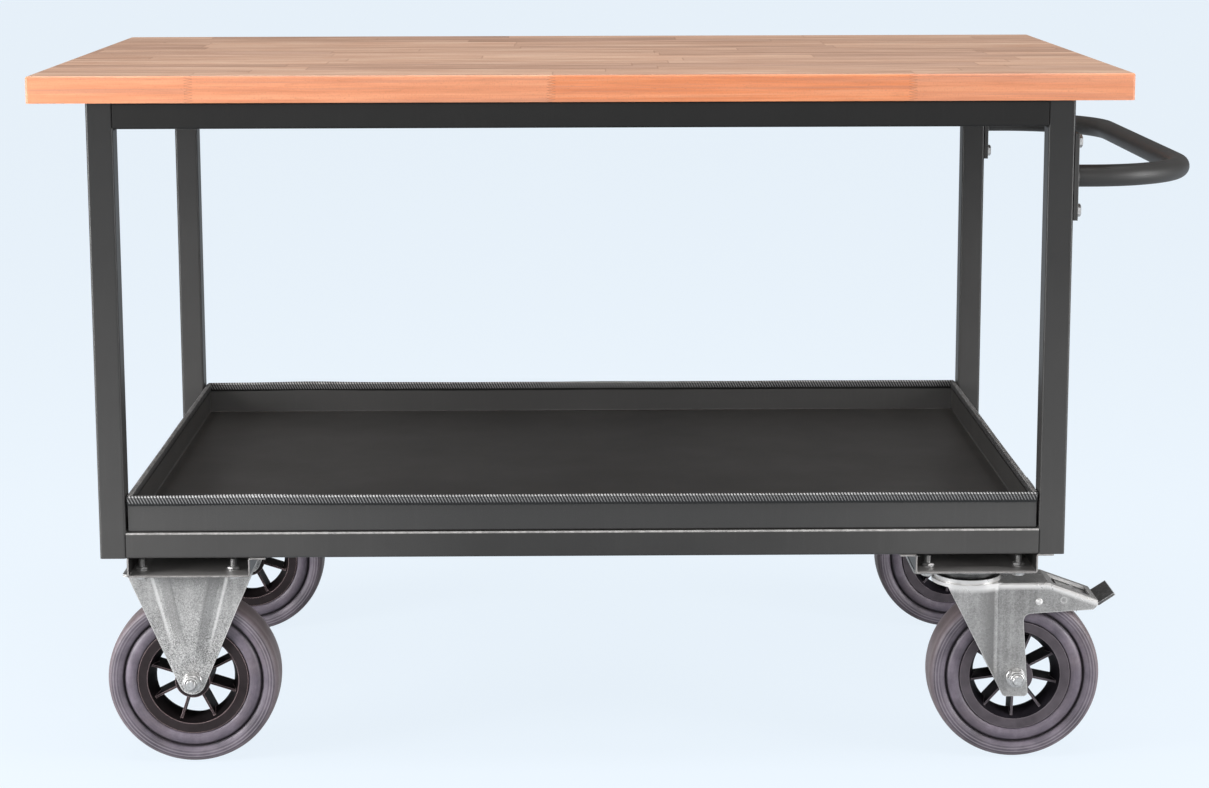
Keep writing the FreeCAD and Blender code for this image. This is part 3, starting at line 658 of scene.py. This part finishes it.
def washer(diameter, bore, bottom, top):
    """A flat ring about Z, from the radius bore outwards, with a chamfer at its top."""
    radius, edge = diameter / 2, 0.25 * (top - bottom)
    return turned([(bore, bottom), (radius, bottom), (radius, top - edge), (radius - edge, top), (bore, top)],
                  loop=True)


def bead(start, end, first, second, size, ripple=0.0016):
    """A weld bead in the corner between two faces that run along the directions first and second."""
    start, end, first, second = (Vector(v) for v in (start, end, first, second))
    length = (end - start).length
    count = max(4, round(length / ripple * 3))
    rings = []
    for i in range(count + 1):
        t = i / count
        wave = 1 + 0.10 * math.sin(math.tau * length * t / ripple) + 0.06 * math.sin(31 * t + 2)
        reach = size * wave * min(1, 0.55 + 6 * min(t, 1 - t))
        middle_of = start.lerp(end, t)
        rings.append([middle_of - (first + second) * size * 0.3,
                      middle_of + first * reach - second * size * 0.2,
                      middle_of + first * reach * 0.72 + second * reach * 0.34,
                      middle_of + first * reach * 0.34 + second * reach * 0.72,
                      middle_of + second * reach - first * size * 0.2])
    return skin(rings)


ABOUT_Y = Matrix.Rotation(math.pi / 2, 4, "X")          # turns +Z to -Y
ABOUT_X = Matrix.Rotation(math.pi / 2, 4, "Y")          # turns +Z to +X


def at(place, turn=Matrix.Identity(4)):
    return Matrix.Translation(place) @ turn


# ---- fasteners -----------------------------------------------------------------------------
MOUNT_PITCH = 0.00125       # pitches of the threads
AXLE_PITCH = 0.00175
WASHER = 0.0012             # washer face under a small head or nut
JOIN = 0.001                # how far a turned part reaches into the one that it stands on
NUT_PLAY = 0.0004           # how far a nut's bore lies inside the thread
OVER = Matrix.Rotation(math.pi, 4, "X")                 # turns +Z to -Z


def mount_places():
    """Centres of the caster bolts, with the height of each head's seat."""
    nut_seat = low("caster_nuts")[2]
    places = []
    for row in ROWS:
        for plate, sheet in ((f"{row}_left_bracket", FIXED_SHEET), (f"{row}_right_top_plate", SWIVEL_SHEET)):
            x, y, _ = middle(plate)
            under = nut_seat - CHANNEL_SHEET - sheet
            places += [(x + sx * HOLE_PITCH_X / 2, y + sy * HOLE_PITCH_Y / 2, under)
                       for sx in (-1, 1) for sy in (-1, 1)]
    return places


def caster_fasteners(material):
    nut_seat, top = low("caster_nuts")[2], high("caster_bolts")[2]
    thread_start = nut_seat + MOUNT_NUT - JOIN
    shank = MOUNT_THREAD / 2
    bore, turned_nut = shank - NUT_PLAY, Matrix.Rotation(math.pi / 6, 4, "Z")
    bolts, nuts = Form(), Form()
    for x, y, under in mount_places():
        head = at((x, y, under), OVER)
        bolts.add(washer(0.0156, shank, 0, WASHER), head)
        bolts.add(hexagon(MOUNT_FLATS, WASHER, MOUNT_HEAD), head)
        bolts.add(turned([(shank, -JOIN), (shank, thread_start - under)], 20), at((x, y, under)))
        bolts.add(screw_thread(MOUNT_THREAD, thread_start, top, MOUNT_PITCH), at((x, y, 0)))
        nuts.add(washer(0.0150, shank, 0, WASHER), at((x, y, nut_seat)))
        nuts.add(hexagon(MOUNT_FLATS, WASHER, MOUNT_NUT, bore, True), at((x, y, nut_seat), turned_nut))
    bolts.piece("caster_bolts_cut", material, "table", "zinc", "caster_bolts")
    nuts.piece("caster_nuts_cut", material, "table", "zinc", "caster_nuts")


def axle_bolt(leg):
    """Bolt about Z with its head on the leg's face at +leg and its thread beyond the nut at -leg."""
    shank, flange = AXLE_THREAD / 2, leg + 0.0016
    thread_start = -leg - AXLE_NUT + JOIN
    form = Form()
    form.add(washer(0.0215, shank, leg, flange))
    form.add(hexagon(AXLE_FLATS, flange, leg + AXLE_HEAD))
    form.add(turned([(shank, thread_start), (shank, leg)], 28))
    form.add(screw_thread(AXLE_THREAD, 0, AXLE_TAIL + JOIN, AXLE_PITCH, 28), at((0, 0, thread_start), OVER))
    return form.points, form.faces


def axle_nut(leg):
    """Lock nut about Z: washer, chamfered hexagon and the round collar that grips the thread."""
    bore, collar, top = AXLE_THREAD / 2 - NUT_PLAY, AXLE_FLATS * 0.45, AXLE_NUT
    form = Form()
    form.add(washer(0.0225, AXLE_THREAD / 2, 0, 0.0018))
    form.add(hexagon(AXLE_FLATS, 0.0018, top * 0.72, bore))
    form.add(turned([(bore, top * 0.68), (collar, top * 0.68), (collar, top - 0.0014),
                     (collar - 0.0005, top - 0.0005), (collar - 0.0014, top), (bore + 0.0012, top),
                     (bore + 0.0006, top - 0.0008), (bore, top - 0.0008)], loop=True))
    down = at((0, 0, -leg), OVER)
    return [down @ Vector(p) for p in form.points], form.faces


def axle_fasteners(material):
    """Z of each form turns to +Y, so the heads are at the rear and the nuts at the front."""
    bolts, nuts = Form(), Form()
    for row in ROWS:
        leg = FORK_GAP / 2 + FIXED_SHEET
        place = at(middle(f"{row}_left_tyre"), ABOUT_Y.inverted())
        bolts.add(axle_bolt(leg), place)
        nuts.add(axle_nut(leg), place)
        leg = FORK_GAP / 2 + SWIVEL_SHEET
        place = at(middle(f"{row}_right_tyre"), ABOUT_Y.inverted())
        for kind, part in (("bolt", axle_bolt(leg)), ("nut", axle_nut(leg))):
            node = f"{row}_right_axle_{kind}"
            Form().add(part, place).piece(node + "_cut", material, f"{row}_right_swivel", "zinc", node)
    bolts.piece("fixed_axle_bolts_cut", material, "table", "zinc", "fixed_axle_bolts")
    nuts.piece("fixed_axle_nuts_cut", material, "table", "zinc", "fixed_axle_nuts")


def handle_fasteners(material):
    form = Form()
    face, shank = high("handle_plates")[0], HANDLE_THREAD / 2
    for row in ROWS:
        y = middle(f"post_{row}_right")[1]
        for side in (-1, 1):
            z = middle("handle_plates")[2] + side * HANDLE_PITCH / 2
            place = at((face, y, z), ABOUT_X)
            form.add(washer(0.0158, shank, 0, WASHER), place)
            form.add(hexagon(HANDLE_FLATS, WASHER, HANDLE_HEAD), place)
            form.add(turned([(shank, -HANDLE_SHANK), (shank, JOIN)], 20), place)
    form.piece("handle_bolts_cut", material, "table", "zinc", "handle_bolts")


# ---- wheels and swivels --------------------------------------------------------------------
RIVET_AHEAD = 0.079         # from the swivel's axis to the rivets of the brake arm
RIVET_HEIGHT = 0.191


def mirrored(half):
    """A whole section from the half of it on one side of the wheel's plane."""
    return half + [(radius, -offset) for radius, offset in reversed(half)]


def tyre_outline():
    """A tyre's section as (radius, offset from the wheel's plane), from the rim to the tread and back."""
    return mirrored([
        (TYRE_SEAT, 0.0208), (0.0650, 0.0222), (0.0662, 0.0234), (0.0682, 0.0243), (0.0707, 0.0248),
        (0.0732, 0.0248), (0.0756, 0.0241), (0.0777, 0.0228), (0.0792, 0.0211), (0.0800, 0.0199),
        (0.0806, 0.0196), (0.0812, 0.0203), (0.0820, 0.0217), (0.0838, 0.0231), (0.0868, 0.0243),
        (0.0905, 0.0250), (0.0935, 0.0250), (0.0955, 0.0244), (0.0973, 0.0229), (0.0985, 0.0206),
        (0.0992, 0.0178), (0.0997, 0.0125), (0.09995, 0.0060)])


def bearing_outline():
    """A bearing's section: the inner ring and the outer ring stand proud of the seal between them."""
    face = 0.0275
    return mirrored([
        (0.00605, face - 0.0004), (0.0065, face), (0.0086, face), (0.0089, face - 0.0012),
        (0.0116, face - 0.0012), (0.0119, face), (0.0131, face), (0.0135, face - 0.0004)])


def wheels(rubber, steel):
    tyre, bearing = Form(), Form()
    tyre.add(turned(tyre_outline(), 128, True), ABOUT_Y)
    bearing.add(turned(bearing_outline(), 48, True), ABOUT_Y)
    for row in ROWS:
        for end in ENDS:
            corner = f"{row}_{end}"
            body, centre = corner + "_wheel", middle(corner + "_tyre")
            tyre.piece(corner + "_tyre_turned", rubber, body, "tyre", corner + "_tyre",
                       origin=centre, crisp=50)
            bearing.piece(corner + "_bearing_turned", steel, body, "bearing_steel", corner + "_bearing",
                          origin=centre)


def ball_race(tall):
    """Two-part ball race about Z, with a groove between its cups."""
    outer, inner = 0.035, 0.024
    return turned([(inner, 0), (outer, 0), (outer, tall * 0.38), (outer - 0.0030, tall * 0.46),
                   (outer - 0.0030, tall * 0.56), (outer - 0.0006, tall * 0.62), (outer, tall * 0.66),
                   (outer, tall), (inner, tall)], 64, True)


def swivel_details(cups, rivets):
    """The ball race, and a rivet on each face of the brake arm."""
    rivet = turned([(0.0042, -JOIN), (0.0042, 0.0006), (0.0034, 0.0016), (0.0018, 0.0022),
                    (0.0004, 0.0024)], 24)
    arm_face = FORK_GAP / 2 + SWIVEL_SHEET
    for row in ROWS:
        swivel = f"{row}_right_"
        race = swivel + "ball_race"
        x, y, _ = middle(race)
        bottom, top = low(race)[2], high(race)[2]
        form = Form()
        form.add(ball_race(top - bottom))
        form.piece(race + "_turned", cups, swivel + "swivel", "zinc", race, origin=(x, y, bottom))
        form = Form()
        for side, turn in ((-1, ABOUT_Y), (1, ABOUT_Y.inverted())):
            form.add(rivet, at((x + RIVET_AHEAD, y + side * arm_face, RIVET_HEIGHT), turn))
        form.piece(swivel + "rivets", rivets, swivel + "swivel", "zinc")


# ---- trims and welds -----------------------------------------------------------------------
TRIM_STEP = 0.008           # between a trim's sections
SWELL_HEIGHT = 0.0017       # where a long trim has come loose
SWELL_AT = -0.385
SWELL_REACH = 0.075
WELD = 0.0022               # leg of a weld's bead
WELD_INSET = 0.004          # from a post's edge to the end of its bead


def trim_section():
    """Half section of the trim as (offset from the wall, height from the wall's top)."""
    wall = TRAY_SHEET / 2
    return [(wall, 0.0), (wall, -TRIM_COVER),
            (TRIM_HALF - 0.0004, -TRIM_COVER), (TRIM_HALF, -TRIM_COVER + 0.0005),
            (TRIM_HALF, TRIM_CROWN - 0.0017), (TRIM_HALF - 0.0005, TRIM_CROWN - 0.0006),
            (TRIM_HALF - 0.0014, TRIM_CROWN)]


def trim_run(length, lift):
    """A trim along X about the origin; lift(x) raises its crown there, and its lower edge by 0.8 of that."""
    half = trim_section()
    outline = half + [(-y, z) for y, z in reversed(half)]
    count = round(length / TRIM_STEP)
    stations = [length * (i / count - 0.5) for i in range(count + 1)]
    return skin([[(x, y, z + lift(x) * (1 if z > -0.001 else 0.8)) for y, z in outline] for x in stations])


def slack(x):
    """A long trim rides up a little near its left end, and ripples elsewhere."""
    swell = SWELL_HEIGHT * math.exp(-((x - SWELL_AT) / SWELL_REACH) ** 2)
    return swell + 0.00018 * math.sin(21 * x + 1) + 0.00012 * math.sin(47 * x)


def ripple(x):
    return 0.0002 * math.sin(19 * x)


def trims():
    top = high("tray")[2]
    x0, x1 = low("tray")[0], high("tray")[0]
    y0, y1 = low("tray")[1] + TRAY_SHEET / 2, high("tray")[1] - TRAY_SHEET / 2
    long_trims, short_trims = Form(), Form()
    for y in (y0, y1):
        long_trims.add(trim_run(x1 - x0, slack), at(((x0 + x1) / 2, y, top)))
    for x in (x0 + TRAY_SHEET / 2, x1 - TRAY_SHEET / 2):
        run = trim_run(y1 - y0 - 2 * TRIM_HALF, ripple)
        short_trims.add(run, at((x, (y0 + y1) / 2, top), Matrix.Rotation(math.pi / 2, 4, "Z")))
    for form, side, axis in ((long_trims, "long", 0), (short_trims, "short", 1)):
        node = "tray_trims_" + side
        rubber = ribbed_rubber("trim_rubber_" + side, axis)
        form.piece(node + "_ribbed", rubber, "table", "trim_rubber", node, crisp=60)


def rail_welds(form, row, end):
    """Straight beads in the corners where the four rails of one corner meet its post."""
    post = f"post_{row}_{end}"
    inward_x = 1 if end == "left" else -1
    inward_y = 1 if row == "front" else -1
    px = high(post)[0] if end == "left" else low(post)[0]
    py = high(post)[1] if row == "front" else low(post)[1]
    x0, x1 = low(post)[0] + WELD_INSET, high(post)[0] - WELD_INSET
    y0, y1 = low(post)[1] + WELD_INSET, high(post)[1] - WELD_INSET
    for level, edge, up in (("top", 0, -1), ("bottom", 1, 1)):
        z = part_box(f"{level}_rail_{row}")[edge][2]
        form.add(bead((px, y0, z), (px, y1, z), (inward_x, 0, 0), (0, 0, up), WELD))
        form.add(bead((x0, py, z), (x1, py, z), (0, inward_y, 0), (0, 0, up), WELD))


def handle_weld(form, row):
    """A rippled bead round the handle's tube where it meets its plate."""
    centre = Vector((high("handle_plates")[0], middle(f"post_{row}_right")[1], middle("push_handle")[2]))
    tube, steps = HANDLE_TUBE / 2, 72
    rings = []
    for k, a in enumerate(turns(steps)):
        outward = Vector((0, math.cos(a), math.sin(a)))
        reach = WELD * (1 + 0.12 * math.sin(k * math.tau / 3) + 0.06 * math.sin(2 * a))
        section = ((-0.001, -0.001), (-0.0005, reach), (reach * 0.5, reach * 0.62), (reach, -0.0005))
        rings.append([centre + Vector((along, 0, 0)) + outward * (tube + off) for along, off in section])
    form.add(skin(rings, loop=True))


def welds(material):
    form = Form()
    for end in ENDS:
        for row in ROWS:
            rail_welds(form, row, end)
    for row in ROWS:
        handle_weld(form, row)
    form.piece("weld_beads", material, "table", "frame_paint", crisp=60)


# ---- nodes that keep their own solids ------------------------------------------------------
def paint_with(material, *names):
    for name in names:
        slots = nodes[name].data.materials
        slots.clear()
        slots.append(material)


def soften(width, *names):
    """Rolls sharp edges, so that they catch the light as pressed and moulded ones do."""
    for name in names:
        weld = nodes[name].modifiers.new("weld", "WELD")
        weld.merge_threshold = 0.00001
        bevel = nodes[name].modifiers.new("edges", "BEVEL")
        bevel.width = width
        bevel.segments = 2
        bevel.limit_method = "ANGLE"
        bevel.angle_limit = math.radians(35)
        bevel.use_clamp_overlap = True
        shade = nodes[name].modifiers.new("shade", "WEIGHTED_NORMAL")
        shade.keep_sharp = True


def dress():
    grey = (0.0290, 0.0283, 0.0277)
    # The posts' coat has painted light at their lower ends and painted shade at their tops.
    coat = powder_coat("frame_coat", grey, 0.40, edge=1.4, painted_foot_shading=2.0, shine=0.4)
    # The top rails take a darker copy of the frame's coat: painted shade under the worktop.
    shaded = powder_coat("rail_coat", (0.0125, 0.0122, 0.0119), 0.46, shine=0.25)
    # The lower rails: painted highlight on their upper corners, painted light towards the table's ends.
    lower_coat = powder_coat("lower_rail_coat", (0.0310, 0.0302, 0.0295), 0.40,
                             corner=13.0, ends=2.2, shine=0.4)
    tube_coat = powder_coat("handle_coat", grey, 0.47, shine=0.4)
    # The tray: upward faces and the ends paler, dust and painted light.
    tray_coat = powder_coat("tray_coat", (0.0345, 0.0337, 0.0330), 0.36, 0.08, dust_and_upward_light=1.3, ends=1.8)
    # The channels: edges paler as painted highlight, upward faces much paler as painted light and dust.
    channel_coat = powder_coat("channel_coat", (0.026, 0.025, 0.0245), 0.42, edge=12.0, dust_and_upward_light=9.0, cut=14.0)
    bright = plated("plated_steel", (0.58, 0.575, 0.57), 0.38)
    bracket = zinc("bracket_zinc", (0.395, 0.39, 0.385), 0.34, 0.9, (0.20, 0.13), panel_painted_light_and_shade)
    fork = zinc("fork_zinc", (0.325, 0.32, 0.316), 0.30, 0.2, None, fork_painted_light_and_shade)
    # The ball race in dark steel: grease, and painted shade under the top plate.
    race = plated("race_steel", (0.10, 0.099, 0.097), 0.34)
    # The top plate in darker zinc: painted shade under the channel.
    plate = zinc("plate_zinc", (0.20, 0.198, 0.195), 0.32, 0.3)
    steel = plated("bearing_steel", (0.30, 0.30, 0.305), 0.3)
    # The two rim materials are copies of one plastic, darker for the fixed wheels and paler for the swivel
    # wheels: painted shade and painted light.
    dull = moulded_plastic("fixed_wheel_plastic", (0.008, 0.0062, 0.0068), (0.034, 0.027, 0.029),
                           (0.40, 0.30, 0.31))
    plastic = moulded_plastic("wheel_plastic", (0.014, 0.012, 0.016), (0.112, 0.098, 0.112),
                              (0.24, 0.21, 0.23))
    pedal = pedal_finish(middle("front_right_ball_race")[0] + TREAD_AHEAD)
    posts = [f"post_{row}_{end}" for row in ROWS for end in ENDS]
    paint_with(beech(), "worktop")
    paint_with(coat, *posts)
    paint_with(tube_coat, "push_handle", "handle_plates")
    paint_with(lower_coat, *[f"bottom_rail_{place}" for place in ENDS + ROWS])
    paint_with(shaded, *[f"top_rail_{place}" for place in ENDS + ROWS])
    paint_with(tray_coat, "tray")
    paint_with(channel_coat, *[f"caster_channel_{end}" for end in ENDS])
    paint_with(bright, "worktop_screws", "kingpins")
    for row in ROWS:
        swivel = f"{row}_right_"
        paint_with(dull, f"{row}_left_rim")
        paint_with(plastic, f"{row}_right_rim")
        paint_with(bracket, f"{row}_left_bracket")
        paint_with(plate, swivel + "top_plate")
        paint_with(fork, swivel + "fork", swivel + "brake_pin")
        paint_with(pedal, swivel + "brake_pedal")
        paint_with(steel, swivel + "brake_spring")
        soften(0.0006, f"{row}_left_bracket", swivel + "top_plate", swivel + "fork", swivel + "brake_pedal")
        soften(0.0005, *[f"{row}_{end}_rim" for end in ENDS])
    soften(0.0006, "handle_plates", *[f"caster_channel_{end}" for end in ENDS])
    caster_fasteners(bright)
    axle_fasteners(bright)
    handle_fasteners(bright)
    wheels(tyre_rubber(), steel)
    # The rivets pale and almost without metal, lighter than the other plated parts, so that each head shows
    # one bright spot: a colour lightened to stand for its glint.
    swivel_details(race, plated("rivet_steel", (0.72, 0.715, 0.71), 0.55, 0.1))
    trims()
    welds(coat)


# ---- room, light and camera ----------------------------------------------------------------
FLOOR_GLOW = 0.85           # share of the floor that the camera sees as plain background
MIRRORED_GLOW = 0.45        # and the share in reflections and through clear pieces
GLOW_STRENGTH = 1.14
AMBIENT = 0.17              # strength of the light from all sides


def background_material():
    """The floor: plain background to the camera, with the object's soft shadow."""
    s = Shader("pale_floor")
    s.set(Base_Color=(0.40, 0.41, 0.42), Roughness=0.9)
    rays = s.node("LightPath", {}).outputs
    mirrored = s.math("MAXIMUM", rays["Is Glossy Ray"], rays["Is Transmission Ray"])
    share = s.math("MAXIMUM", s.times(rays["Is Camera Ray"], FLOOR_GLOW), s.times(mirrored, MIRRORED_GLOW))
    glow = s.node("Emission", {"Color": BACKGROUND, "Strength": GLOW_STRENGTH}).outputs[0]
    blend = s.node("MixShader", {0: share, 1: s.surface.outputs[0], 2: glow})
    s.feed(s.output.inputs[0], blend.outputs[0])
    return s.material


def floor():
    reach = 60.0
    mesh = bpy.data.meshes.new("floor")
    mesh.from_pydata([(-reach, -reach, 0), (reach, -reach, 0), (reach, reach, 0), (-reach, reach, 0)], [],
                     [(0, 1, 2, 3)])
    mesh.materials.append(background_material())
    plane = bpy.data.objects.new("floor", mesh)
    bpy.context.scene.collection.objects.link(plane)


def world():
    made = bpy.data.worlds.new("studio")
    made.use_nodes = True
    tree = made.node_tree
    tree.nodes.clear()
    output = tree.nodes.new("ShaderNodeOutputWorld")
    rays = tree.nodes.new("ShaderNodeLightPath")
    seen, ambient = tree.nodes.new("ShaderNodeBackground"), tree.nodes.new("ShaderNodeBackground")
    blend = tree.nodes.new("ShaderNodeMixShader")
    seen.inputs[0].default_value = (*BACKGROUND, 1)
    ambient.inputs[0].default_value = (1, 1, 1, 1)
    ambient.inputs[1].default_value = AMBIENT
    tree.links.new(rays.outputs["Is Camera Ray"], blend.inputs[0])
    tree.links.new(ambient.outputs[0], blend.inputs[1])
    tree.links.new(seen.outputs[0], blend.inputs[2])
    tree.links.new(blend.outputs[0], output.inputs[0])
    bpy.context.scene.world = made


def lamp(name, place, target, size, power):
    light = bpy.data.lights.new(name, "AREA")
    light.shape = "RECTANGLE"
    light.size, light.size_y = size
    light.energy = power
    made = bpy.data.objects.new(name, light)
    made.location = place
    made.visible_camera = False
    made.rotation_euler = (Vector(target) - Vector(place)).to_track_quat("-Z", "Y").to_euler()
    bpy.context.scene.collection.objects.link(made)


def lights():
    centre = (0, 0, 0.45)
    lamp("left_box", (-1.95, -1.05, 0.70), centre, (0.7, 1.1), 43)
    lamp("right_box", (2.05, -1.05, 0.70), centre, (0.7, 1.1), 32)
    lamp("front_box", (0.0, -4.2, 1.5), centre, (3.0, 1.5), 38)
    lamp("overhead", (0.0, -0.6, 3.3), centre, (3.0, 1.4), 90)


def camera():
    data = bpy.data.cameras.new("camera")
    data.sensor_width = SENSOR * 1000
    data.lens = FOCAL_PIXELS / IMAGE_WIDTH * data.sensor_width
    data.shift_y = SHIFT_UP
    made = bpy.data.objects.new("camera", data)
    turn = (Matrix.Rotation(CAMERA_YAW, 4, "Z") @ Matrix.Rotation(math.pi / 2 - CAMERA_PITCH, 4, "X")
            @ Matrix.Rotation(CAMERA_ROLL, 4, "Z"))
    made.matrix_world = Matrix.Translation(CAMERA_PLACE) @ turn
    bpy.context.scene.collection.objects.link(made)
    bpy.context.scene.camera = made


dress()
floor()
world()
lights()
camera()
bpy.context.scene.view_settings.view_transform = "Standard"
